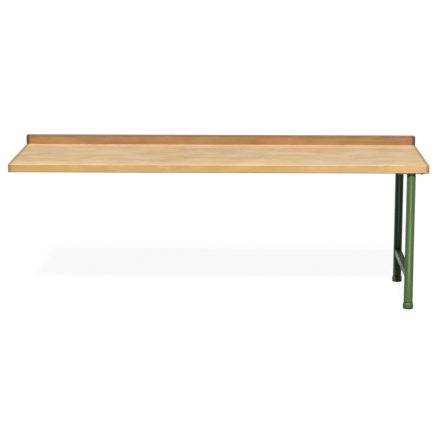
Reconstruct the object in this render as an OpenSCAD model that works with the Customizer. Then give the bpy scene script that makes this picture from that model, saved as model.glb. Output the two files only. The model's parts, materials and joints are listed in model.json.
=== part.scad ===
// Extension workbench: a beech worktop with a rear upstand, carried at its right end by one welded
// leg frame on two levelling feet. The left end has no legs, because it is bolted to the bench
// beside it. The origin is on the floor, under the middle of the length and of the depth, and the
// user stands on the -Y side.

/* [Worktop] */
// Length of the worktop
top_l = 2500; // [1200:50:3000]
// Depth of the worktop's board, without the upstand
top_d = 680; // [500:10:900]
// Thickness of the worktop's board
top_t = 50; // [40:1:60]
// Height of the work surface above the floor, with the feet screwed right in
bench_h = 890; // [750:5:1000]
// Radius of the eased edges of the board
top_edge_r = 5; // [1:0.5:8]
// Radius of the board's four upright corners
top_corner_r = 12; // [1:0.5:20]

/* [Upstand] */
// Thickness of the upstand strip behind the board
upstand_t = 20; // [15:1:30]
// Height of the upstand above the work surface
upstand_h = 60; // [30:5:120]
// Radius of the two upper corners, seen from the front
upstand_corner_r = 12; // [5:1:25]
// Radius of the eased long edges of the strip
upstand_edge_r = 4; // [1:0.5:5]
// Radius of the strip's upright edges, at its two ends
upstand_end_r = 7; // [1:0.5:7]
// Diameter of the countersunk wood screws through the strip
strip_screw_d = 6; // [5:0.5:8]
// Diameter of their heads
strip_screw_head_d = 12; // [10:0.5:16]
// Length of these screws
strip_screw_l = 70; // [50:5:90]
// Distance from each end of the strip to its first screw
strip_screw_end = 50; // [30:5:100]
// Widest spacing of the screws
strip_screw_pitch = 400; // [200:10:600]

/* [Leg frame] */
// Outside diameter of the round leg tubes
leg_d = 54; // [40:1:60]
// Wall of the leg tubes
leg_wall = 2; // [1.5:0.5:3]
// Distance from the worktop's right end to the middle of the legs
leg_inset_x = 102; // [90:2:300]
// Distance from the board's front and rear edges to the middle of the legs
leg_inset_y = 44; // [40:2:150]
// Width and height of the square tube of the lower rail
low_rail_w = 40; // [20:1:40]
// Height of the lower rail's underside above the floor
low_rail_z = 180; // [100:5:400]
// Width of the upper rail under the worktop
up_rail_w = 40; // [20:1:40]
// Height of the upper rail
up_rail_h = 30; // [20:1:60]
// Wall of both rails
rail_wall = 2; // [1.5:0.5:3]
// Radius of the rails' outer corners
rail_corner_r = 4; // [3.5:0.5:8]

/* [Top plates] */
// Length of the plates on top of the legs, along the worktop
plate_l = 160; // [140:2:180]
// Width of the plates
plate_w = 60; // [60:1:78]
// Thickness of the plates
plate_t = 4; // [3:0.5:8]
// Radius of the plates' corners
plate_corner_r = 8; // [2:1:15]
// Spacing of the plate's holes along the worktop
plate_hole_x = 124; // [110:2:126]
// Spacing of the plate's holes across the worktop
plate_hole_y = 26; // [24:1:36]

/* [Bolts and inserts] */
// Thread diameter of the bolts that hold the plates, and of every insert
bolt_d = 8; // [6:1:10]
// Length of the bolts under the head
bolt_l = 20; // [16:1:25]
// Width across flats of the bolt heads
bolt_flats = 13; // [10:1:16]
// Height of the bolt heads
bolt_head_h = 5.3; // [4:0.1:7]
// Outside diameter of the washers
washer_d = 16; // [14:1:20]
// Thickness of the washers
washer_t = 1.6; // [1:0.1:3]
// Outside diameter of the threaded inserts in the wood
insert_d = 13; // [12:0.5:16]
// Length of the inserts
insert_l = 18; // [12:1:25]

/* [Joint with the next bench] */
// Distance from the left end to the inserts for the joining plates
join_x = 50; // [30:5:100]
// Distance from the board's long edges to the middle of each pair of inserts
join_y = 150; // [120:5:220]
// Spacing of the two inserts of a pair
join_pitch = 80; // [50:5:120]

/* [Levelling feet] */
// Diameter of the foot at its lower rim
foot_d = 63; // [62:1:80]
// Height of the whole foot, from the floor to the underside of the leg
foot_h = 40; // [36:1:60]
// Height of the rounded shoulder, where the foot widens from the leg's diameter to its own
foot_shoulder_h = 15; // [10:1:20]
// Height of the upright collar at the foot's upper edge
foot_collar_h = 3; // [2:0.5:8]
// Wall of the hollow foot
foot_wall = 3; // [2:0.5:4]
// Thickness of the web that holds the stud
foot_web_t = 9; // [6:0.5:10]
// Diameter of the boss round the stud
foot_boss_d = 22; // [20:1:26]
// Number of ribs inside the foot
foot_ribs = 6; // [4:1:8]
// Thickness of the ribs inside the foot
foot_rib_t = 2; // [1.5:0.5:3]
// Thread diameter of the levelling stud
stud_d = 12; // [10:1:14]
// Height of the stud's upper end above the foot
stud_rise = 65; // [50:5:90]
// Diameter of the stud's pivot in the glide
pivot_d = 9; // [6:0.5:9]
// Thickness of the glide's disc on the floor
glide_t = 5; // [4:0.5:8]
// Step from the foot's rim in to the glide's edge
glide_step = 0.5; // [0:0.5:3]
// Diameter of the glide's hub
glide_hub_d = 20; // [18:1:24]
// Height of the hub above the disc
glide_hub_h = 8; // [6:0.5:10]
// Depth left under the pivot's socket in the glide
glide_floor_t = 3; // [2:0.5:4]
// Height of the plug's flange under the leg tube
plug_flange_h = 3; // [2:0.5:5]
// Height of the plug inside the leg tube
plug_h = 30; // [24:1:50]
// Diameter of the plug's core
plug_core_d = 30; // [26:1:32]
// Number of fins on the plug
plug_fins = 8; // [6:1:12]
// Thickness of the fins
plug_fin_t = 2; // [1.5:0.5:3]
// Width across flats of the nut in the plug
nut_flats = 18; // [17:1:19]
// Height of the nut
nut_h = 10; // [8:0.5:12]

/* [Clearances] */
// Gap between a foot and what it moves against
run_gap = 0.3; // [0.2:0.05:0.5]
// Radial clearance of the stud in its nut and of the pivot in its socket
fit_gap = 0.05; // [0.02:0.01:0.09]
// Radial clearance of screws, inserts and plugs in their holes
seat_gap = 0.1; // [0.05:0.05:0.3]
// Gap between the ends of the rails and the legs, which the weld fills
weld_gap = 0.2; // [0.1:0.1:0.5]
// Radial clearance of bolts and screws in drilled plates and in the strip
drill_gap = 0.5; // [0.3:0.1:1]

/* [Hidden] */
$fn = 96;

// Whole depth, and the board's front and rear edges
bench_d = top_d + upstand_t;
front_y = -bench_d / 2;
board_back_y = front_y + top_d;
board_mid_y = (front_y + board_back_y) / 2;
// Heights from the floor up
leg_z0 = foot_h + run_gap + plug_flange_h;
plate_z0 = bench_h - top_t - plate_t;
board_z0 = bench_h - top_t;
// Places of the legs
leg_x = top_l / 2 - leg_inset_x;
front_leg_y = front_y + leg_inset_y;
rear_leg_y = board_back_y - leg_inset_y;
leg_ys = [front_leg_y, rear_leg_y];
// Extra length of a cutter past the faces that it goes through
past = 1;
// Screws of the strip, evenly spaced and never further apart than the widest spacing
strip_screw_span = top_l - 2 * strip_screw_end;
strip_screw_gaps = ceil(strip_screw_span / strip_screw_pitch);
strip_screw_z = board_z0 + top_t / 2;
// A right-angled countersink: its depth is half the difference of its diameters
strip_sink_h = (strip_screw_head_d - strip_screw_d) / 2;
strip_tip_l = strip_screw_d;
// The foot's side rises upright and turns in to the collar on an arc, the shoulder
foot_z0 = glide_t + run_gap;
shoulder_in = (foot_d - leg_d) / 2;
shoulder_z0 = foot_h - foot_collar_h - foot_shoulder_h;
shoulder_r = (shoulder_in * shoulder_in + foot_shoulder_h * foot_shoulder_h) / (2 * shoulder_in);
foot_edge_r = 2.5;
foot_web_z0 = foot_h - foot_web_t;
foot_boss_drop = 6;
// The stud stands on the glide's hub and its pivot goes down into the socket
hub_top_z = glide_t + glide_hub_h;
stud_z0 = hub_top_z + run_gap;
stud_z1 = foot_h + stud_rise;
stud_chamfer = 1.2;
glide_edge_r = 1.5;
glide_r = foot_d / 2 - glide_step;
// The nut lies in a pocket that opens at the plug's lower face
plug_z0 = foot_h + run_gap;
plug_chamfer = 2;
nut_z0 = plug_z0 + run_gap;
nut_chamfer_r = nut_flats / 2 * 1.09;
// Depth of an insert's hole past the insert, and of the washer's and bolt's stack
insert_spare = 2;
washer_z0 = plate_z0 - washer_t;
head_z0 = washer_z0 - bolt_head_h;

wood_colour = "#DCB98F";
wood_edge_colour = "#B8824F";
green_colour = "#66814A";
zinc_colour = "#C9CCCB";
brass_colour = "#C6A65A";
black_colour = "#1E1F1E";

// Rectangle with true arcs at its corners, centred on the origin
module soft_rect(w, h, r) {
    square([w - 2 * r, h], center = true);
    square([w, h - 2 * r], center = true);
    for (x = [-1, 1], y = [-1, 1])
        translate([x * (w / 2 - r), y * (h / 2 - r)]) circle(r = r);
}

// The same, standing on the X axis with rounded corners at the top only
module soft_top_rect(w, h, r) {
    translate([-w / 2, 0]) square([w, h - r]);
    translate([-w / 2 + r, 0]) square([w - 2 * r, h]);
    for (x = [-1, 1]) translate([x * (w / 2 - r), h - r]) circle(r = r);
}

// Extrudes a drawing of the Y-Z plane along X, centred
module along_x(l) { rotate([90, 0, 90]) linear_extrude(l, center = true) children(); }

// Extrudes a drawing of the X-Z plane along Y, centred
module along_y(l) { rotate([90, 0, 0]) linear_extrude(l, center = true) children(); }

// Puts its child at both legs, or at one of them
module at_leg(y) { translate([leg_x, y, 0]) children(); }
module at_legs() { for (y = leg_ys) at_leg(y) children(); }

// Puts its child at the four holes of each top plate
module at_plate_holes() {
    at_legs() for (x = [-1, 1], y = [-1, 1])
        translate([x * plate_hole_x / 2, y * plate_hole_y / 2, 0]) children();
}

// Puts its child at the inserts that the next bench is joined to
module at_join_holes() {
    for (y = [front_y + join_y, board_back_y - join_y], s = [-1, 1])
        translate([-top_l / 2 + join_x, y + s * join_pitch / 2, 0]) children();
}

// Puts its child at each screw of the strip, with the screw's axis turned to lie along Y
module at_strip_screws() {
    for (i = [0:strip_screw_gaps])
        translate([-strip_screw_span / 2 + i * strip_screw_span / strip_screw_gaps,
                   board_back_y + upstand_t, strip_screw_z])
            rotate([90, 0, 0]) children();
}

// A countersunk screw's body pointing along +Z from its head's face, wider all round by the gap
module sunk_screw(gap) {
    cylinder(h = strip_sink_h, d1 = strip_screw_head_d + 2 * gap, d2 = strip_screw_d + 2 * gap);
    cylinder(h = strip_screw_l - strip_tip_l, d = strip_screw_d + 2 * gap);
    translate([0, 0, strip_screw_l - strip_tip_l])
        cylinder(h = strip_tip_l, d1 = strip_screw_d + 2 * gap, d2 = gap);
}

module worktop() {
    color(wood_colour) difference() {
        intersection() {
            translate([0, board_mid_y, board_z0 + top_t / 2]) along_x(top_l)
                soft_rect(top_d, top_t, top_edge_r);
            translate([0, board_mid_y, board_z0 + top_t / 2]) along_y(top_d)
                soft_rect(top_l, top_t, top_edge_r);
            translate([0, board_mid_y, board_z0]) linear_extrude(top_t)
                soft_rect(top_l, top_d, top_corner_r);
        }
        at_plate_holes() insert_hole();
        at_join_holes() insert_hole();
        at_strip_screws() sunk_screw(seat_gap);
    }
}

// Blind hole for a threaded insert, from the underside of the board
module insert_hole() {
    translate([0, 0, board_z0 - past])
        cylinder(h = insert_l + insert_spare + past, r = insert_d / 2 + seat_gap);
}

module upstand() {
    strip_h = top_t + upstand_h;
    color(wood_edge_colour) difference() {
        translate([0, board_back_y + upstand_t / 2, board_z0]) intersection() {
            along_y(upstand_t) soft_top_rect(top_l, strip_h, upstand_corner_r);
            along_x(top_l) soft_top_rect(upstand_t, strip_h, upstand_edge_r);
            linear_extrude(strip_h) soft_rect(top_l, upstand_t, upstand_end_r);
        }
        at_strip_screws() {
            translate([0, 0, -past]) cylinder(h = upstand_t + 2 * past, d = strip_screw_d + 2 * drill_gap);
            sunk_screw(seat_gap);
        }
    }
}

module upstand_screws() { color(zinc_colour) at_strip_screws() sunk_screw(0); }

// One leg: a round tube from the plug's flange up to the plate
module leg(y) {
    color(green_colour) at_leg(y) translate([0, 0, leg_z0]) difference() {
        cylinder(h = plate_z0 - leg_z0, d = leg_d);
        translate([0, 0, -past]) cylinder(h = plate_z0 - leg_z0 + 2 * past, d = leg_d - 2 * leg_wall);
    }
}
module front_leg() { leg(front_leg_y); }
module rear_leg() { leg(rear_leg_y); }

// A rail between the legs: a rectangular tube whose ends are cut hollow to fit the round legs
module rail(w, h, z0) {
    color(green_colour) difference() {
        translate([leg_x, (front_leg_y + rear_leg_y) / 2, z0 + h / 2])
            along_y(rear_leg_y - front_leg_y) difference() {
                soft_rect(w, h, rail_corner_r);
                soft_rect(w - 2 * rail_wall, h - 2 * rail_wall, rail_corner_r - rail_wall);
            }
        at_legs() translate([0, 0, z0 - past]) cylinder(h = h + 2 * past, r = leg_d / 2 + weld_gap);
    }
}
module upper_rail() { rail(up_rail_w, up_rail_h, plate_z0 - up_rail_h); }
module lower_rail() { rail(low_rail_w, low_rail_w, low_rail_z); }

// The plate that is welded on top of a leg and bolted under the worktop
module top_plate(y) {
    color(green_colour) difference() {
        at_leg(y) translate([0, 0, plate_z0]) linear_extrude(plate_t)
            soft_rect(plate_l, plate_w, plate_corner_r);
        at_plate_holes() translate([0, 0, plate_z0 - past])
            cylinder(h = plate_t + 2 * past, r = bolt_d / 2 + drill_gap);
    }
}
module front_top_plate() { top_plate(front_leg_y); }
module rear_top_plate() { top_plate(rear_leg_y); }

module plate_bolts() {
    color(zinc_colour) at_plate_holes() {
        translate([0, 0, head_z0]) cylinder(h = bolt_head_h, d = bolt_flats / cos(30), $fn = 6);
        translate([0, 0, washer_z0]) cylinder(h = bolt_l, d = bolt_d);
    }
}

module plate_washers() {
    color(zinc_colour) at_plate_holes() translate([0, 0, washer_z0]) difference() {
        cylinder(h = washer_t, d = washer_d);
        translate([0, 0, -past]) cylinder(h = washer_t + 2 * past, r = bolt_d / 2 + seat_gap);
    }
}

// A threaded insert: a sleeve in the wood, open at both ends
module insert() {
    translate([0, 0, board_z0]) difference() {
        cylinder(h = insert_l, d = insert_d);
        translate([0, 0, -past]) cylinder(h = insert_l + 2 * past, r = bolt_d / 2 + fit_gap);
    }
}
module plate_inserts() { color(brass_colour) at_plate_holes() insert(); }
module joint_inserts() { color(brass_colour) at_join_holes() insert(); }

// The plug in the lower end of a leg: a flange, a core and fins that grip the tube
module leg_plug(y) {
    tube_r = leg_d / 2 - leg_wall - seat_gap;
    color(black_colour) at_leg(y) translate([0, 0, plug_z0]) difference() {
        union() {
            cylinder(h = plug_flange_h, d = leg_d);
            translate([0, 0, plug_flange_h]) {
                cylinder(h = plug_h, d = plug_core_d);
                intersection() {
                    for (i = [0:plug_fins - 1]) rotate(i * 360 / plug_fins)
                        translate([0, -plug_fin_t / 2, 0]) cube([leg_d / 2, plug_fin_t, plug_h]);
                    union() {
                        cylinder(h = plug_h - plug_chamfer, r = tube_r);
                        translate([0, 0, plug_h - plug_chamfer])
                            cylinder(h = plug_chamfer, r1 = tube_r, r2 = tube_r - plug_chamfer);
                    }
                }
            }
        }
        translate([0, 0, -past]) cylinder(h = plug_flange_h + plug_h + 2 * past, r = stud_d / 2 + drill_gap);
        translate([0, 0, -past]) cylinder(h = past + nut_z0 - plug_z0 + nut_h + seat_gap,
                                          r = nut_flats / 2 / cos(30) + seat_gap, $fn = 6);
    }
}
module front_leg_plug() { leg_plug(front_leg_y); }
module rear_leg_plug() { leg_plug(rear_leg_y); }

// The nuts in the plugs, with their upper and lower corners turned off
module plug_nuts() {
    color(zinc_colour) at_legs() translate([0, 0, nut_z0]) difference() {
        intersection() {
            cylinder(h = nut_h, r = nut_flats / 2 / cos(30), $fn = 6);
            union() {
                cylinder(h = nut_h / 2, r1 = nut_chamfer_r, r2 = nut_chamfer_r + nut_h / 2);
                translate([0, 0, nut_h / 2])
                    cylinder(h = nut_h / 2, r1 = nut_chamfer_r + nut_h / 2, r2 = nut_chamfer_r);
            }
        }
        translate([0, 0, -past]) cylinder(h = nut_h + 2 * past, r = stud_d / 2 + fit_gap);
    }
}

// Half section of the foot out to its side, with the shoulder's arc moved in by a wall
module foot_side(z0, wall) {
    translate([0, z0]) square([foot_d / 2 - wall, shoulder_z0 - z0]);
    intersection() {
        translate([foot_d / 2 - shoulder_r, shoulder_z0]) circle(r = shoulder_r - wall, $fn = 4 * $fn);
        translate([0, shoulder_z0]) square([foot_d / 2 - wall, foot_collar_h + foot_shoulder_h]);
    }
}

// Half section of the foot's outside, with a rounded lower edge
module foot_outline() {
    square_h = foot_h - foot_z0;
    intersection() {
        union() {
            foot_side(foot_z0, 0);
            translate([0, foot_z0]) square([leg_d / 2, square_h]);
        }
        translate([0, foot_z0]) union() {
            square([foot_d / 2 - foot_edge_r, square_h]);
            translate([0, foot_edge_r]) square([foot_d / 2, square_h - foot_edge_r]);
            translate([foot_d / 2 - foot_edge_r, foot_edge_r]) circle(r = foot_edge_r);
        }
    }
}

// Half section of the hollow under the foot's web
module foot_hollow() {
    intersection() {
        foot_side(foot_z0 - past, foot_wall);
        translate([0, foot_z0 - past]) square([foot_d / 2, foot_web_z0 - foot_z0 + past]);
    }
}

// The hand-turned foot: a shouldered body, hollow but for the boss round the stud and the ribs
module foot(y) {
    color(green_colour) at_leg(y) difference() {
        rotate_extrude() foot_outline();
        difference() {
            rotate_extrude() foot_hollow();
            translate([0, 0, foot_web_z0 - foot_boss_drop]) {
                cylinder(h = foot_boss_drop + past, d = foot_boss_d);
                for (i = [0:foot_ribs - 1]) rotate(i * 360 / foot_ribs)
                    translate([0, -foot_rib_t / 2, 0])
                        cube([foot_d / 2, foot_rib_t, foot_boss_drop + past]);
            }
        }
        translate([0, 0, -past]) cylinder(h = foot_h + 2 * past, d = stud_d);
    }
}
module front_foot() { foot(front_leg_y); }
module rear_foot() { foot(rear_leg_y); }

// The levelling stud: a pivot in the glide, and a shank through the foot into the plug's nut
module stud(y) {
    pivot_z0 = glide_floor_t + run_gap;
    color(zinc_colour) at_leg(y) {
        translate([0, 0, pivot_z0]) cylinder(h = stud_z0 - pivot_z0, d = pivot_d);
        translate([0, 0, stud_z0]) cylinder(h = stud_z1 - stud_chamfer - stud_z0, d = stud_d);
        translate([0, 0, stud_z1 - stud_chamfer])
            cylinder(h = stud_chamfer, d1 = stud_d, d2 = stud_d - 2 * stud_chamfer);
    }
}
module front_stud() { stud(front_leg_y); }
module rear_stud() { stud(rear_leg_y); }

// The glide: a disc that stays still on the floor while the foot turns on its hub
module glide(y) {
    color(black_colour) at_leg(y) difference() {
        rotate_extrude() {
            square([glide_r - glide_edge_r, glide_t]);
            translate([0, glide_edge_r]) square([glide_r, glide_t - glide_edge_r]);
            translate([glide_r - glide_edge_r, glide_edge_r]) circle(r = glide_edge_r);
            square([glide_hub_d / 2, hub_top_z]);
        }
        translate([0, 0, glide_floor_t]) cylinder(h = hub_top_z, r = pivot_d / 2 + fit_gap);
    }
}
module front_glide() { glide(front_leg_y); }
module rear_glide() { glide(rear_leg_y); }

worktop();
upstand();
upstand_screws();
front_leg();
rear_leg();
upper_rail();
lower_rail();
front_top_plate();
rear_top_plate();
plate_bolts();
plate_washers();
plate_inserts();
joint_inserts();
front_leg_plug();
rear_leg_plug();
plug_nuts();
front_foot();
rear_foot();
front_stud();
rear_stud();
front_glide();
rear_glide();
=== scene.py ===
import json
import math

import bmesh
import bpy
from mathutils import Matrix, Vector

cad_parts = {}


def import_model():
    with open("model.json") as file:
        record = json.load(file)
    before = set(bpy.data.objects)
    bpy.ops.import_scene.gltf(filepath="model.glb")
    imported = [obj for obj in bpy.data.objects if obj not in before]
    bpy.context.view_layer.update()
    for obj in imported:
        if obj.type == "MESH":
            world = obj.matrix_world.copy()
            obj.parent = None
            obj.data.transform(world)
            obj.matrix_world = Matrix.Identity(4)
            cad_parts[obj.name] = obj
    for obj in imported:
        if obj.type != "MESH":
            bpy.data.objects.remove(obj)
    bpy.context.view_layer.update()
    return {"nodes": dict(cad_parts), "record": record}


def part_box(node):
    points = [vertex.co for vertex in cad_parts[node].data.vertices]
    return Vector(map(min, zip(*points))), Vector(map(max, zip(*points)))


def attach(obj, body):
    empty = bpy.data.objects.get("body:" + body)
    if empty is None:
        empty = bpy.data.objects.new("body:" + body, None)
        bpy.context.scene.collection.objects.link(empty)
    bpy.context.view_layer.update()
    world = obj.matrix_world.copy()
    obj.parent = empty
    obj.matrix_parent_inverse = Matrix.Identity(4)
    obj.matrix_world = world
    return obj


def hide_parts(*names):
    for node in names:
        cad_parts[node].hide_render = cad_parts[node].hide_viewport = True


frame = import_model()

NODES = frame["nodes"]
MM = 0.001

# Places and sizes of the bench, read from the frame
BOARD_LOW, BOARD_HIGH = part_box("worktop")
STRIP_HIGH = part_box("upstand")[1]
LEG_LOW, LEG_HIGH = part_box("front_leg")
REAR_LEG_LOW, REAR_LEG_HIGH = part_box("rear_leg")
LEG_R = (LEG_HIGH.x - LEG_LOW.x) / 2
LEG_X = (LEG_HIGH.x + LEG_LOW.x) / 2
FRONT_LEG_Y = (LEG_HIGH.y + LEG_LOW.y) / 2
REAR_LEG_Y = (REAR_LEG_HIGH.y + REAR_LEG_LOW.y) / 2


# Small helpers for shader nodes

# Most values of a noise texture lie between these two
NOISE_LOW, NOISE_HIGH = 0.3, 0.7


def colour(code):
    """The linear RGBA of an sRGB hex colour such as #D8BA94."""
    parts = [int(code[i:i + 2], 16) / 255 for i in (1, 3, 5)]
    linear = [p / 12.92 if p <= 0.04045 else ((p + 0.055) / 1.055) ** 2.4 for p in parts]
    return (*linear, 1.0)


def node(tree, kind, settings, inputs):
    """Adds a shader node with its settings. An input is a value or another node's output."""
    new = tree.nodes.new("ShaderNode" + kind)
    for name, value in settings.items():
        setattr(new, name, value)
    for key, value in inputs.items():
        if isinstance(value, bpy.types.NodeSocket):
            tree.links.new(value, new.inputs[key])
        else:
            new.inputs[key].default_value = value
    return new


def calc(tree, operation, *values, clamp=False):
    """The result of a sum. Clamp holds it between 0 and 1."""
    settings = {"operation": operation, "use_clamp": clamp}
    return node(tree, "Math", settings, dict(enumerate(values))).outputs[0]


def remap(tree, value, start, end, low=0.0, high=1.0, kind="LINEAR"):
    """Turns start to end into low to high, and stays at low and high beyond them."""
    return node(tree, "MapRange", {"interpolation_type": kind}, {
        0: value, 1: start, 2: end, 3: low, 4: high}).outputs[0]


def from_noise(tree, noise, low, high):
    """Turns a noise into a value from low to high."""
    return remap(tree, noise, NOISE_LOW, NOISE_HIGH, low, high)


def choose(tree, share, first, second):
    """The first value where the share is 0, and the second where it is 1."""
    return node(tree, "Mix", {"data_type": "FLOAT"}, {0: share, 2: first, 3: second}).outputs[0]


def blend(tree, share, first, second, mode="MIX"):
    """Mixes two colours by a share, each a hex colour or a node's output."""
    ends = [colour(end) if isinstance(end, str) else end for end in (first, second)]
    settings = {"data_type": "RGBA", "blend_type": mode}
    return node(tree, "Mix", settings, {0: share, 6: ends[0], 7: ends[1]}).outputs[2]


def noise_spots(tree, per_metre, detail):
    """Noise with so many spots to the metre in each direction."""
    place = node(tree, "TexCoord", {}, {}).outputs["Object"]
    return node(tree, "TexNoise", {}, {
        "Vector": place, "Scale": per_metre, "Detail": detail}).outputs["Fac"]


def uneven_colour(tree, code, noise, low, high):
    """A colour made darker and lighter by a noise, from low to high times as bright."""
    value = from_noise(tree, noise, low, high)
    return node(tree, "HueSaturation", {}, {"Value": value, "Color": colour(code)}).outputs[0]


def relief(tree, height, strength, depth):
    """The surface's direction under a height pattern of this depth."""
    return node(tree, "Bump", {}, {
        "Strength": strength, "Distance": depth, "Height": height}).outputs[0]


def rays(tree, *kinds):
    """1 for rays of one of these kinds, such as Camera or Glossy, and 0 for others."""
    path = node(tree, "LightPath", {}, {}).outputs
    found = path["Is " + kinds[0] + " Ray"]
    for kind in kinds[1:]:
        found = calc(tree, "MAXIMUM", found, path["Is " + kind + " Ray"])
    return found


def new_tree(name):
    """A material with an empty node tree, and its tree."""
    material = bpy.data.materials.new(name)
    material.use_nodes = True
    material.node_tree.nodes.clear()
    return material, material.node_tree


def finish_tree(tree, shader):
    """Joins the shader to the material's output."""
    node(tree, "OutputMaterial", {}, {"Surface": shader.outputs[0]})


# Beech

STAVE_W = 45 * MM
# Usual length of the blocks in a stave, and the fewest and the most of them in a metre of stave
BLOCK_L = 420 * MM
BLOCKS_FEW, BLOCKS_MANY = 0.7 / BLOCK_L, 1.3 / BLOCK_L
# How many blocks one stave may be pushed along past another
BLOCK_SHIFT = 17.3
# How far apart in the log two blocks may have been cut, in metres
BLOCK_JUMP = 9.0
# Width of the glue lines between staves and between blocks, and how dark they are
GLUE_LINE = 0.3 * MM
GLUE_SHARE = 0.3

# Frequency of each pattern along and across the grain, per metre, and its detail: growth rings
# 4 to 12 mm apart, fibres 1 mm apart, and ray flecks 3 mm long and 0.5 mm wide
FIGURE = (3.0, 90.0, 4.0)
FIBRE = (18.0, 900.0, 3.0)
RAY_FLECKS = (280.0, 1700.0, 1.0)
# The oil has taken unevenly, in patches one or two hands wide that run across the staves
OIL_PATCHES = (6.0, 11.0, 2.0)
WARM_PATCHES = (4.3, 7.0, 2.0)

# What each pattern adds to the shade, which goes from 0 for the pale tone to 1 for the dark one
FIGURE_SHADE = (0.0, 0.6)
FIBRE_SHADE = (-0.1, 0.16)
OIL_SHADE = (-0.42, 0.42)
# What a block's own tone adds, on the planed edge and on the sanded top, and the middle of it
BLOCK_SHADE = (0.1, 0.44)
BLOCK_MIDDLE = 0.45

# Between which values of its noise the warm tone, the unevenness of the bands and a fleck set in,
# and the share of a band that is left where it is thinnest
WARM_FROM, WARM_FULL = 0.35, 0.65
UNEVEN_FROM, UNEVEN_FULL = 0.38, 0.62
FLECK_FROM, FLECK_FULL = 0.62, 0.74
BAND_LEAST = 0.35

# Colour of glue lines and ray flecks, and of the painted shade on the rounded edges
BROWN = "#7A4A22"
FLECK_SHARE = 0.2
EDGE_SHADE_SHARE = 0.28
# Distance from the sawn ends where the oil's soaking begins, and where it is complete
SOAKED_L = 25 * MM
SOAKED_DEEP_L = 16 * MM
# How far a surface faces along the bench where end grain starts to show, and where it is all of it
END_FROM, END_FULL = 0.25, 0.7
# Stretch of the rings on the end grain
RING_STRETCH = (4.0, 260.0, 90.0)
# Roughness of the oiled wood, from its pale parts to its dark ones
WOOD_ROUGHNESS = (0.42, 0.56)


def grain(tree, place, along, across, detail):
    """Noise drawn out along the wood, with its frequency along and across the grain."""
    at = node(tree, "VectorMath", {"operation": "MULTIPLY"}, {0: place, 1: (along, across, across)})
    return node(tree, "TexNoise", {}, {
        "Vector": at.outputs[0], "Scale": 1.0, "Detail": detail, "Roughness": 0.55,
        "Distortion": 0.4}).outputs["Fac"]


def stave_cells(tree, axis):
    """Where a point lies across the staves and along its block, both counted in wholes, the Y of its
    stave's middle, and random numbers for its block."""
    across = calc(tree, "DIVIDE", axis["Y"], STAVE_W)
    stave = calc(tree, "FLOOR", across)
    stave_luck = node(tree, "TexWhiteNoise", {"noise_dimensions": "1D"}, {"W": stave}).outputs["Value"]
    per_metre = remap(tree, stave_luck, 0.0, 1.0, BLOCKS_FEW, BLOCKS_MANY)
    shift = calc(tree, "MULTIPLY", stave_luck, BLOCK_SHIFT)
    along = calc(tree, "MULTIPLY_ADD", axis["X"], per_metre, shift)
    block = calc(tree, "FLOOR", along)
    address = node(tree, "CombineXYZ", {}, {"X": stave, "Y": block}).outputs[0]
    luck = node(tree, "TexWhiteNoise", {"noise_dimensions": "2D"}, {"Vector": address}).outputs
    middle = calc(tree, "MULTIPLY_ADD", stave, STAVE_W, STAVE_W / 2)
    return across, along, middle, luck


def glue_lines(tree, wood, across, along):
    """The wood with fine dark lines between staves and between blocks."""
    for cell, width in ((across, GLUE_LINE / STAVE_W), (along, GLUE_LINE / BLOCK_L)):
        near = calc(tree, "PINGPONG", cell, 0.5)
        line = remap(tree, near, width, 2 * width, GLUE_SHARE, 0.0)
        wood = blend(tree, line, wood, BROWN, "MULTIPLY")
    return wood


def sawn_ends(tree, wood, half_length, place, axis, facing, tones):
    """The wood with oil soaked in near its ends, and with close rings on the end grain itself."""
    end = calc(tree, "ABSOLUTE", axis["X"])
    soaked = remap(tree, end, half_length - SOAKED_L, half_length - SOAKED_DEEP_L,
                   0.0, tones["soaked_share"], "SMOOTHSTEP")
    wood = blend(tree, soaked, wood, tones["soaked"])
    ring_at = node(tree, "VectorMath", {"operation": "MULTIPLY"}, {0: place, 1: RING_STRETCH})
    ring = node(tree, "TexWave", {"wave_type": "BANDS", "bands_direction": "Y"}, {
        "Vector": ring_at.outputs[0], "Scale": 0.16, "Distortion": 5.0, "Detail": 2.0,
        "Detail Scale": 0.6}).outputs["Fac"]
    end_wood = blend(tree, ring, tones["end_dark"], tones["end_pale"])
    endward = remap(tree, calc(tree, "ABSOLUTE", facing["X"]), END_FROM, END_FULL)
    return blend(tree, endward, wood, end_wood)


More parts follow.
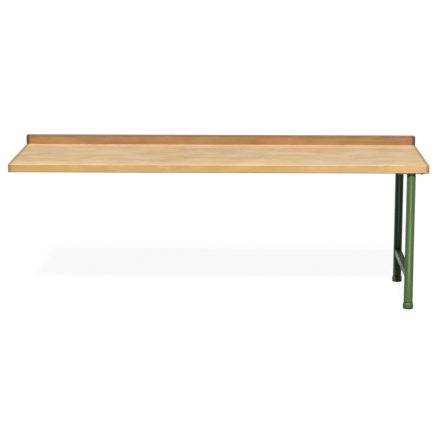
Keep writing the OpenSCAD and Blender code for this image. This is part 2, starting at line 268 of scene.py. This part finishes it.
def beech(name, half_length, tones, bands, staved):
    """Oiled solid beech, planed and sanded: fine lengthwise figure, short ray flecks, satin sheen,
    and darker, thirstier wood at the sawn ends. Staved tells whether it is glued up of staves."""
    material, tree = new_tree(name)
    place = node(tree, "TexCoord", {}, {}).outputs["Object"]
    axis = node(tree, "SeparateXYZ", {}, {"Vector": place}).outputs
    normal = node(tree, "NewGeometry", {}, {}).outputs["Normal"]
    facing = node(tree, "SeparateXYZ", {}, {"Vector": normal}).outputs
    upward = remap(tree, facing["Z"], *tones["arris"])
    sideways = calc(tree, "SUBTRACT", 1.0, upward)

    # Each block's figure comes from another place in the log
    cut_at = place
    if staved:
        across, along, stave_y, luck = stave_cells(tree, axis)
        jump = node(tree, "VectorMath", {"operation": "SCALE"}, {0: luck["Color"], "Scale": BLOCK_JUMP})
        cut_at = node(tree, "VectorMath", {"operation": "ADD"}, {0: place, 1: jump.outputs[0]}).outputs[0]
    figure = grain(tree, cut_at, *FIGURE)
    fibre = grain(tree, cut_at, *FIBRE)
    fleck = grain(tree, cut_at, *RAY_FLECKS)
    oil = grain(tree, place, *OIL_PATCHES)
    warmth = grain(tree, place, *WARM_PATCHES)

    shade = from_noise(tree, figure, *FIGURE_SHADE)
    shade = calc(tree, "ADD", shade, from_noise(tree, fibre, *FIBRE_SHADE))
    shade = calc(tree, "ADD", shade, from_noise(tree, oil, *OIL_SHADE), clamp=not staved)
    if staved:
        # The blocks differ in tone on the sanded top, and much less on the planed edge
        block_tone = calc(tree, "SUBTRACT", luck["Value"], BLOCK_MIDDLE)
        block_share = remap(tree, upward, 0.0, 1.0, *BLOCK_SHADE)
        shade = calc(tree, "MULTIPLY_ADD", block_tone, block_share, shade, clamp=True)

    # Painted shade: top and sides are lit and shaded copies of one wood, the top's tones set darker
    top = blend(tree, shade, tones["top_pale"], tones["top_dark"])
    side = blend(tree, shade, tones["side_pale"], tones["side_dark"])
    wood = blend(tree, upward, side, top)
    warm = remap(tree, warmth, WARM_FROM, WARM_FULL, 0.0, tones["warm_share"])
    wood = blend(tree, warm, wood, tones["warm"])
    if staved:
        wood = glue_lines(tree, wood, across, along)

    # Staves of another tone towards an edge of the top, and bands of another tone on the sides
    uneven = remap(tree, warmth, UNEVEN_FROM, UNEVEN_FULL, BAND_LEAST, 1.0)
    for kind, start, full, share, tone in bands:
        at, face = (stave_y, upward) if kind == "staves" else (axis["Z"], sideways)
        band = remap(tree, at, start, full, 0.0, share, "SMOOTHSTEP")
        band = calc(tree, "MULTIPLY", calc(tree, "MULTIPLY", band, face), uneven)
        wood = blend(tree, band, wood, tone)

    # Painted shade on the rounded edges, darkest halfway between top and side, where
    # upward and sideways are both a half
    edge = calc(tree, "MULTIPLY", upward, sideways)
    edge_shade = remap(tree, edge, 0.0, 0.5 * 0.5, 0.0, EDGE_SHADE_SHARE)
    wood = blend(tree, edge_shade, wood, BROWN, "MULTIPLY")

    wood = sawn_ends(tree, wood, half_length, cut_at, axis, facing, tones)
    fleck = remap(tree, fleck, FLECK_FROM, FLECK_FULL, 0.0, FLECK_SHARE)
    wood = blend(tree, fleck, wood, BROWN, "MULTIPLY")

    finish_tree(tree, node(tree, "BsdfPrincipled", {}, {
        "Base Color": wood, "Roughness": from_noise(tree, figure, *WOOD_ROUGHNESS), "IOR": 1.5,
        "Normal": relief(tree, fibre, strength=0.25, depth=0.1 * MM)}))
    return material


# Paint, metal and plastic

# Spots to the metre: clouds in the paint, its orange peel with 1.2 mm from crest to crest, marks
# on metal 0.8 mm apart, and the grain of the mould, 0.5 mm apart
PAINT_CLOUDS = 9.0
ORANGE_PEEL = 1 / (1.2 * MM)
METAL_MARKS = 1 / (0.8 * MM)
MOULD_GRAIN = 1 / (0.5 * MM)


def powder_coat(name, code, roughness):
    """Green powder coat on steel, baked: a hard skin with a soft shine and a faint orange peel."""
    material, tree = new_tree(name)
    cloud = noise_spots(tree, PAINT_CLOUDS, detail=3.0)
    peel = noise_spots(tree, ORANGE_PEEL, detail=1.0)
    finish_tree(tree, node(tree, "BsdfPrincipled", {}, {
        "Base Color": uneven_colour(tree, code, cloud, low=0.94, high=1.06),
        "Roughness": from_noise(tree, cloud, roughness - 0.04, roughness + 0.04),
        "IOR": 1.5, "Normal": relief(tree, peel, strength=0.12, depth=0.05 * MM)}))
    return material


def turned_metal(name, code, roughness):
    """Bright metal, plated or turned, with fine marks that break up its shine."""
    material, tree = new_tree(name)
    mark = noise_spots(tree, METAL_MARKS, detail=3.0)
    finish_tree(tree, node(tree, "BsdfPrincipled", {}, {
        "Base Color": uneven_colour(tree, code, mark, low=0.88, high=1.05),
        "Roughness": from_noise(tree, mark, roughness - 0.06, roughness + 0.08),
        "Metallic": 1.0}))
    return material


def moulded_nylon(name, code):
    """Black glass-filled nylon, injection moulded: matt, with a fine spark-eroded grain."""
    material, tree = new_tree(name)
    pits = noise_spots(tree, MOULD_GRAIN, detail=2.0)
    finish_tree(tree, node(tree, "BsdfPrincipled", {}, {
        "Base Color": uneven_colour(tree, code, pits, low=0.8, high=1.2),
        "Roughness": 0.5, "IOR": 1.53, "Normal": relief(tree, pits, strength=0.3, depth=0.04 * MM)}))
    return material


# The materials of the bench

# Each beech's tones, and between which upward slopes its side tone gives way to its top tone
# Painted shade: the top tones are set darker than the side tones, against the light from above
BOARD_TONES = {
    "top_pale": "#D4BB9A", "top_dark": "#B99B79", "side_pale": "#E4B37B", "side_dark": "#C89659",
    "end_pale": "#AE8E60", "end_dark": "#94724A", "soaked": "#8F7450", "soaked_share": 0.62,
    "warm": "#CFA655", "warm_share": 0.4, "arris": (0.4, 0.97),
}
# The strip's top tones are much darker still: painted shade on its top
STRIP_TONES = {
    "top_pale": "#6A4A2D", "top_dark": "#563A20", "side_pale": "#A17C53", "side_dark": "#87603C",
    "end_pale": "#7C5733", "end_dark": "#644122", "soaked": "#5E3A1C", "soaked_share": 0.85,
    "warm": "#A0753F", "warm_share": 0.3, "arris": (0.1, 0.5),
}
# Each band: on the top's staves or on the sides, where it starts, where it is full, its share there
# and its tone. The board's front staves are paler, a painted highlight along the front; those along
# the upstand are paler and redder, a painted highlight at its foot; the front edge yellows towards
# the bottom.
BOARD_BANDS = [
    ("staves", BOARD_LOW.y + 0.13, BOARD_LOW.y + 0.025, 0.95, "#E0C19A"),
    ("staves", BOARD_HIGH.y - 0.16, BOARD_HIGH.y - 0.035, 1.0, "#E3B692"),
    ("sides", BOARD_LOW.z + 0.036, BOARD_LOW.z + 0.012, 0.85, "#CBAF6C"),
]
# Painted shade: the strip is darker along its upper edge
STRIP_BANDS = [("sides", STRIP_HIGH.z - 0.02, STRIP_HIGH.z - 0.006, 0.5, "#6F4B2C")]

MATERIALS = {
    # Beech staves, glued and oiled
    "beech_top": beech("oiled_beech_board", BOARD_HIGH.x, BOARD_TONES, BOARD_BANDS, staved=True),
    # One length of steamed beech, redder and darker than the board
    "beech_strip": beech(
        "oiled_steamed_beech_strip", STRIP_HIGH.x, STRIP_TONES, STRIP_BANDS, staved=False),
    # Powder coat on the welded frame
    "green_paint": powder_coat("green_powder_coat", "#5B7440", 0.36),
    # The same coat on the feet, rougher for the casting under it
    "green_foot": powder_coat("green_powder_coat_on_casting", "#526A39", 0.5),
    # Zinc on bolts, washers, studs, nuts and screws
    "zinc_steel": turned_metal("bright_zinc_plate", "#C4C8C8", 0.3),
    # Brass of the threaded inserts
    "brass_insert": turned_metal("turned_brass", "#C9A865", 0.28),
    # Nylon of the leg plugs and the glides
    "black_nylon": moulded_nylon("black_glass_filled_nylon", "#232423"),
}


# Pieces that the solids have only in outline: threads, driver recesses, bolt heads and welds

# Sides of one turn of a thread, and of a round head, neck or pivot
THREAD_STEPS = 24
ROUND_STEPS = 48
# Depth of a metric thread as a share of its pitch
THREAD_DEPTH = 0.613
# One ridge of a thread: whether a point is on the crest, and how far along the pitch it lies
THREAD_RIDGE = [(False, 0), (False, 1 / 8), (True, 7 / 16), (True, 9 / 16), (False, 7 / 8), (False, 1)]
# Points closer than this become one
MERGE_DIST = 0.001 * MM


def add_object(name, data):
    """Puts an object with this mesh, curve, light or camera into the scene."""
    added = bpy.data.objects.new(name, data)
    bpy.context.scene.collection.objects.link(added)
    return added


def add_piece(name, mesh, body, slot, *stands_for):
    """Makes a piece of a bmesh. It rides on a body and may stand for CAD nodes."""
    bmesh.ops.recalc_face_normals(mesh, faces=mesh.faces)
    data = bpy.data.meshes.new(name)
    mesh.to_mesh(data)
    mesh.free()
    data.materials.append(MATERIALS[slot])
    piece = add_object(name, data)
    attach(piece, body)
    if stands_for:
        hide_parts(*stands_for)


def join(mesh, other, matrix):
    """Adds a copy of another bmesh, moved by the matrix."""
    data = bpy.data.meshes.new("joined")
    other.to_mesh(data)
    data.transform(matrix)
    mesh.from_mesh(data)
    bpy.data.meshes.remove(data)


def profile_edges(mesh, profile):
    """Draws a profile of (radius, height) points, and gives its points and edges."""
    points = [mesh.verts.new((radius, 0, height)) for radius, height in profile]
    return points + [mesh.edges.new(pair) for pair in zip(points, points[1:])]


def solid_of_turning(profile):
    """Spins a profile about Z. It starts and ends on the axis."""
    mesh = bmesh.new()
    bmesh.ops.spin(mesh, geom=profile_edges(mesh, profile), axis=(0, 0, 1), angle=math.tau,
                   steps=ROUND_STEPS, use_merge=True)
    bmesh.ops.remove_doubles(mesh, verts=mesh.verts, dist=MERGE_DIST)
    return mesh


def open_edges(mesh):
    """The edges round a mesh's openings."""
    return [edge for edge in mesh.edges if edge.is_boundary]


def thread_surface(crest_r, root_r, pitch, low, high):
    """One thread wound about Z, a spun turn on top of the other, and cut square at both ends, where
    it is left open."""
    turn = bmesh.new()
    ridge = [(crest_r if crest else root_r, share * pitch) for crest, share in THREAD_RIDGE]
    bmesh.ops.spin(turn, geom=profile_edges(turn, ridge), axis=(0, 0, 1),
                   dvec=(0, 0, pitch / THREAD_STEPS), angle=math.tau, steps=THREAD_STEPS)
    mesh = bmesh.new()
    for index in range(-2, math.ceil((high - low) / pitch) + 1):
        join(mesh, turn, Matrix.Translation((0, 0, low + index * pitch)))
    turn.free()
    bmesh.ops.remove_doubles(mesh, verts=mesh.verts, dist=MERGE_DIST)
    for height, away in ((low, -1), (high, 1)):
        bmesh.ops.bisect_plane(
            mesh, geom=mesh.verts[:] + mesh.edges[:] + mesh.faces[:], dist=MERGE_DIST / 10,
            plane_co=(0, 0, height), plane_no=(0, 0, away), clear_outer=True)
    return mesh


def threaded_rod(radius, pitch, low, high, chamfer):
    """A threaded rod about Z with turned-off ends."""
    root_r = radius - THREAD_DEPTH * pitch
    mesh = thread_surface(radius, root_r, pitch, low + chamfer, high - chamfer)
    ends = bmesh.ops.holes_fill(mesh, edges=open_edges(mesh), sides=0)["faces"]
    bmesh.ops.recalc_face_normals(mesh, faces=mesh.faces)
    for end in ends:
        bmesh.ops.inset_region(mesh, faces=[end], thickness=chamfer, depth=chamfer)
    return mesh


def level_stud(end, leg_y):
    """A levelling stud: M12 with a turned pivot at its foot, which stands in the glide."""
    low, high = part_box(end + "_stud")
    hub_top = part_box(end + "_glide")[1].z
    pitch, rod_chamfer, shoulder = 1.75 * MM, 1.0 * MM, 0.3 * MM
    pivot_r, pivot_chamfer, pivot_top = 4.5 * MM, 0.4 * MM, hub_top + 3 * MM
    rod = threaded_rod((high.x - low.x) / 2, pitch, hub_top + shoulder, high.z, rod_chamfer)
    pivot = solid_of_turning([
        (0, low.z), (pivot_r - pivot_chamfer, low.z), (pivot_r, low.z + pivot_chamfer),
        (pivot_r, pivot_top), (0, pivot_top)])
    mesh = bmesh.new()
    for shape in (rod, pivot):
        join(mesh, shape, Matrix.Translation((LEG_X, leg_y, 0)))
        shape.free()
    add_piece(end + "_stud_thread", mesh, end + "_screw", "zinc_steel", end + "_stud")


def weld_bead(name, route):
    """A bead of weld along a closed route, with the ripples of the moving arc, painted over."""
    bead_r, ripple, ripple_l = 2.4 * MM, 0.14, 2.6 * MM
    curve = bpy.data.curves.new(name + "_route", "CURVE")
    curve.dimensions = "3D"
    curve.bevel_depth = bead_r
    curve.bevel_resolution = 1
    line = curve.splines.new("POLY")
    line.points.add(len(route) - 1)
    line.use_cyclic_u = True
    travelled = 0
    for index, point in enumerate(route):
        line.points[index].co = (*point, 1)
        line.points[index].radius = 1 + ripple * math.cos(math.tau * travelled / ripple_l)
        travelled += (route[(index + 1) % len(route)] - point).length
    drawn = add_object(name + "_drawn", curve)
    mesh = bmesh.new()
    mesh.from_mesh(drawn.to_mesh())
    drawn.to_mesh_clear()
    bpy.data.objects.remove(drawn)
    bpy.data.curves.remove(curve)
    add_piece(name, mesh, "frame", "green_paint")


def plate_route(leg_y, height):
    """The circle where a leg meets its top plate."""
    steps = 220
    turns = [math.tau * index / steps for index in range(steps)]
    return [Vector((LEG_X + LEG_R * math.cos(turn), leg_y + LEG_R * math.sin(turn), height))
            for turn in turns]


def rounded_corners(width, height, corner_r):
    """The points of a rounded rectangle about the origin, in order."""
    shape = bmesh.new()
    bmesh.ops.create_grid(shape, x_segments=1, y_segments=1, size=0.5,
                          matrix=Matrix.Diagonal((width, height, 1, 1)))
    bmesh.ops.bevel(shape, geom=shape.verts[:], offset=corner_r, offset_type="OFFSET", segments=5,
                    profile=0.5, affect="VERTICES", material=-1)
    shape.faces.ensure_lookup_table()
    corners = [loop.vert.co.copy() for loop in shape.faces[0].loops]
    shape.free()
    return corners


def rail_route(rail, leg_y, side):
    """The line where a rail's square end meets a round leg: the rail's outline, drawn onto the leg.
    Side is 1 for a rail that runs from the leg to +Y, and -1 to -Y."""
    low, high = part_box(rail)
    corner_r, step, middle_z = 4 * MM, 0.7 * MM, (low.z + high.z) / 2
    corners = rounded_corners(high.x - low.x, high.z - low.z, corner_r)
    route = []
    for start, end in zip(corners, corners[1:] + corners[:1]):
        pieces = max(1, round((end - start).length / step))
        for index in range(pieces):
            point = start.lerp(end, index / pieces)
            bulge = math.sqrt(LEG_R ** 2 - point.x ** 2)
            route.append(Vector((LEG_X + point.x, leg_y + side * bulge, middle_z + point.y)))
    return route


def hexagon_r(angle, flats):
    """Distance from the middle of a hexagon to its side, at an angle."""
    return flats / 2 / math.cos((angle + math.pi / 6) % (math.pi / 3) - math.pi / 6)


def recess_r(angle):
    """Radius of a six-lobed driver recess, 5.1 mm across its lobes."""
    return (2.2 + 0.35 * math.cos(6 * angle)) * MM


def value_at(rule, place):
    """A rule's value at a place, or the rule itself where it is a plain number."""
    return rule(place) if callable(rule) else rule


def ring_edges(mesh, height, radius):
    """A closed ring of edges about Z. The radius may depend on the angle, the height on the radius."""
    made = bmesh.ops.create_circle(mesh, segments=ROUND_STEPS, radius=1.0)["verts"]
    for vert in made:
        angle = math.atan2(vert.co.y, vert.co.x)
        reach = value_at(radius, angle)
        vert.co = (reach * math.cos(angle), reach * math.sin(angle), value_at(height, reach))
    # Each edge once, and in the same order every run
    return list(dict.fromkeys(edge for vert in made for edge in vert.link_edges))


def stack_of_rings(rings):
    """A closed solid through rings of (height, radius), each a number or a rule."""
    mesh = bmesh.new()
    loops = [ring_edges(mesh, height, radius) for height, radius in rings]
    for below, above in zip(loops, loops[1:]):
        bmesh.ops.bridge_loops(mesh, edges=below + above)
    for rim in (loops[0], loops[-1]):
        bmesh.ops.edgeloop_fill(mesh, edges=rim)
    return mesh


def plate_bolts():
    """Eight M8 bolts: a hexagon head with its corners turned off at 30 degrees, and a thread."""
    low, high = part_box("plate_bolts")
    washer_low, washer_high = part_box("plate_washers")
    flats, bolt_r, pitch, chamfer, washer_r = 13 * MM, 4 * MM, 1.25 * MM, 0.8 * MM, 8 * MM
    face_share, slope = 0.94, math.tan(math.radians(30))
    face_r = face_share * flats / 2
    head = stack_of_rings([
        (low.z, face_r),
        (lambda r: low.z + (r - face_r) * slope, lambda a: hexagon_r(a, flats)),
        (washer_low.z, lambda a: hexagon_r(a, flats)),
    ])
    # The rod starts inside the head
    rod_low = washer_low.z - 1 * MM
    rod = threaded_rod(bolt_r, pitch, rod_low, high.z, chamfer)
    between_legs = REAR_LEG_Y - FRONT_LEG_Y
    half_x = (washer_high.x - washer_low.x) / 2 - washer_r
    half_y = (washer_high.y - washer_low.y - between_legs) / 2 - washer_r
    mesh = bmesh.new()
    for leg_y in (FRONT_LEG_Y, REAR_LEG_Y):
        for x in (-half_x, half_x):
            for y in (-half_y, half_y):
                for shape in (head, rod):
                    join(mesh, shape, Matrix.Translation((LEG_X + x, leg_y + y, 0)))
    head.free()
    rod.free()
    add_piece("plate_bolt_threads", mesh, "frame", "zinc_steel", "plate_bolts")


def strip_screws():
    """Countersunk wood screws with a six-lobed recess, a plain neck, a coarse thread and a point."""
    low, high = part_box("upstand_screws")
    length = high.y - low.y
    head_r, shank_r, core_r, point_r = 6 * MM, 3 * MM, 2.1 * MM, 0.1 * MM
    recess_depth, recess_taper, rim, sink = 2.4 * MM, 0.8, 0.25 * MM, head_r - shank_r
    neck_l, taper_l, tip_l = 28 * MM, 2 * MM, 6 * MM
    head = stack_of_rings([
        (recess_depth, lambda a: recess_taper * recess_r(a)),
        (0.0, recess_r),
        (0.0, head_r - rim),
        (rim, head_r),
        (sink, shank_r),
        (neck_l, shank_r),
        (neck_l + taper_l, core_r),
        (length - tip_l, core_r),
        (length, point_r),
    ])
    pitch, root_r = 2.8 * MM, core_r - 0.2 * MM
    worm = thread_surface(shank_r, root_r, pitch, neck_l + taper_l / 2, length - tip_l)
    bmesh.ops.holes_fill(worm, edges=open_edges(worm), sides=0)
    # The screws are evenly spaced, and each stopped 0.7 radians further round than the last
    count, twist = 7, 0.7
    gap = (high.x - low.x - 2 * head_r) / (count - 1)
    backward = Matrix.Rotation(math.pi / 2, 4, "X")
    mesh = bmesh.new()
    for index in range(count):
        place = Matrix.Translation((low.x + head_r + index * gap, high.y, (low.z + high.z) / 2))
        for shape in (head, worm):
            join(mesh, shape, place @ backward @ Matrix.Rotation(twist * index, 4, "Z"))
    head.free()
    worm.free()
    add_piece("upstand_screw_heads", mesh, "frame", "zinc_steel", "upstand_screws")


# Floor, world, lamps and camera

FLOOR_R = 40.0
# The paper's tone for the light that it throws back
PAPER = "#505050"
# How bright the paper looks, the share of it that gloss shows in front of the bench and behind,
# and between which Y the one turns into the other
PAPER_GLOW = 0.93
PAPER_IN_GLOSS = (0.05, 0.9)
PAPER_TURN = (0.0, 0.8)
# How bright the room is in gloss, in front and behind, between which slants to +Y the one turns
# into the other, and how much light the room gives
ROOM_IN_GLOSS = (0.05, 0.25)
ROOM_TURN = (0.1, 0.7)
ROOM_LIGHT = 0.06
# Size of the lit card, how far it lies in front of the legs, to their left and above the floor,
# and its power in watts
CARD_W, CARD_L = 0.58, 3.6
CARD_AHEAD, CARD_ASIDE, CARD_LIFT = 0.7, 0.06, 10 * MM
CARD_POWER = 60

# The photograph's frame and the camera that matches it: its place in metres, its pitch and roll in
# radians, and its shift as a share of the frame's width
PHOTO_WIDTH_PX = 440
SENSOR_MM = 36
FOCAL_PX = 1313.8
CAMERA_PLACE = (0.1605, -7.982, 2.386)
CAMERA_PITCH = 0.1752
CAMERA_ROLL = 0.0035
CAMERA_SHIFT = (-0.0587, -0.18)


def floor():
    """White studio paper. It looks white to the camera, keeps the bench's soft shadow and throws
    little light back up. Gloss shows it white behind the bench and darker in front, where the
    photographer stands."""
    mesh = bmesh.new()
    bmesh.ops.create_circle(mesh, cap_ends=True, segments=64, radius=FLOOR_R)
    data = bpy.data.meshes.new("floor")
    mesh.to_mesh(data)
    mesh.free()
    material, tree = new_tree("white_studio_paper")
    place = node(tree, "TexCoord", {}, {}).outputs["Object"]
    behind = node(tree, "SeparateXYZ", {}, {"Vector": place}).outputs["Y"]
    in_gloss = remap(tree, behind, *PAPER_TURN, *PAPER_IN_GLOSS)
    strength = choose(tree, rays(tree, "Glossy"), 1.0, in_gloss)
    strength = calc(tree, "MULTIPLY", strength, PAPER_GLOW)
    glow = calc(tree, "MULTIPLY", rays(tree, "Camera", "Glossy", "Transmission"), strength)
    matt = node(tree, "BsdfDiffuse", {}, {"Color": colour(PAPER)})
    white = node(tree, "Emission", {}, {"Color": colour("#FFFFFF"), "Strength": glow})
    finish_tree(tree, node(tree, "AddShader", {}, {0: matt.outputs[0], 1: white.outputs[0]}))
    data.materials.append(material)
    ground = add_object("floor", data)


def world():
    """A white room in view, and a dim one in gloss, which gives little light from all round."""
    room = bpy.data.worlds.new("studio")
    bpy.context.scene.world = room
    room.use_nodes = True
    tree = room.node_tree
    tree.nodes.clear()
    way = node(tree, "TexCoord", {}, {}).outputs["Generated"]
    behind = node(tree, "SeparateXYZ", {}, {"Vector": way}).outputs["Y"]
    in_gloss = remap(tree, behind, *ROOM_TURN, *ROOM_IN_GLOSS)
    strength = choose(tree, rays(tree, "Glossy"), ROOM_LIGHT, in_gloss)
    strength = choose(tree, rays(tree, "Camera", "Transmission"), strength, 1.0)
    light = node(tree, "Background", {}, {"Color": colour("#FFFFFF"), "Strength": strength})
    node(tree, "OutputWorld", {}, {"Surface": light.outputs[0]})


def far_lamp(name, bearing, height, spread, strength, in_gloss):
    """A large lamp far off, so that it lights the whole bench alike. Bearing 0 is straight in
    front and grows to the right, height is above the floor, and spread is its width, in degrees.
    In_gloss tells whether shiny surfaces mirror it."""
    lamp = bpy.data.lights.new(name, "SUN")
    lamp.angle = math.radians(spread)
    lamp.energy = strength
    side, up = math.radians(bearing), math.radians(height)
    towards = Vector((math.sin(side) * math.cos(up), -math.cos(side) * math.cos(up), math.sin(up)))
    body = add_object(name, lamp)
    body.rotation_euler = towards.to_track_quat("Z", "Y").to_euler()
    body.visible_glossy = in_gloss


def shine_card():
    """A lit card on the floor in front of the legs. It shows only in gloss, where it draws the line
    of light along each tube."""
    lamp = bpy.data.lights.new("shine_card", "AREA")
    lamp.shape = "RECTANGLE"
    lamp.size, lamp.size_y = CARD_W, CARD_L
    lamp.energy = CARD_POWER
    body = add_object("shine_card", lamp)
    body.location = (LEG_X - CARD_ASIDE, FRONT_LEG_Y - CARD_AHEAD - CARD_L / 2, CARD_LIFT)
    body.rotation_euler = (math.pi, 0, 0)
    body.visible_camera = False
    body.visible_diffuse = False


def camera():
    """The photograph's camera: a long lens a little above the worktop, tilted down."""
    lens = bpy.data.cameras.new("camera")
    lens.sensor_width = SENSOR_MM
    lens.lens = FOCAL_PX / PHOTO_WIDTH_PX * SENSOR_MM
    lens.shift_x, lens.shift_y = CAMERA_SHIFT
    eye = add_object("camera", lens)
    tilt = Matrix.Rotation(math.pi / 2 - CAMERA_PITCH, 4, "X")
    eye.matrix_world = Matrix.Translation(CAMERA_PLACE) @ tilt @ Matrix.Rotation(CAMERA_ROLL, 4, "Z")
    bpy.context.scene.camera = eye


# The bench

for part in frame["record"]["subparts"]:
    skin = NODES[part["node"]].data.materials
    skin.clear()
    skin.append(MATERIALS[part["material_slot"]])

level_stud("front", FRONT_LEG_Y)
level_stud("rear", REAR_LEG_Y)
plate_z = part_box("front_top_plate")[0].z
for end, leg_y, side in (("front", FRONT_LEG_Y, 1), ("rear", REAR_LEG_Y, -1)):
    weld_bead(end + "_plate_weld", plate_route(leg_y, plate_z))
    weld_bead(end + "_low_rail_weld", rail_route("lower_rail", leg_y, side))
    weld_bead(end + "_up_rail_weld", rail_route("upper_rail", leg_y, side))
plate_bolts()
strip_screws()

# The studio

floor()
world()
far_lamp("key_lamp", bearing=-1, height=50, spread=6, strength=4.7, in_gloss=True)
far_lamp("back_right_lamp", bearing=145, height=6, spread=24, strength=1.5, in_gloss=False)
far_lamp("back_left_lamp", bearing=-145, height=6, spread=24, strength=1.2, in_gloss=False)
shine_card()
camera()
bpy.context.scene.view_settings.view_transform = "Standard"
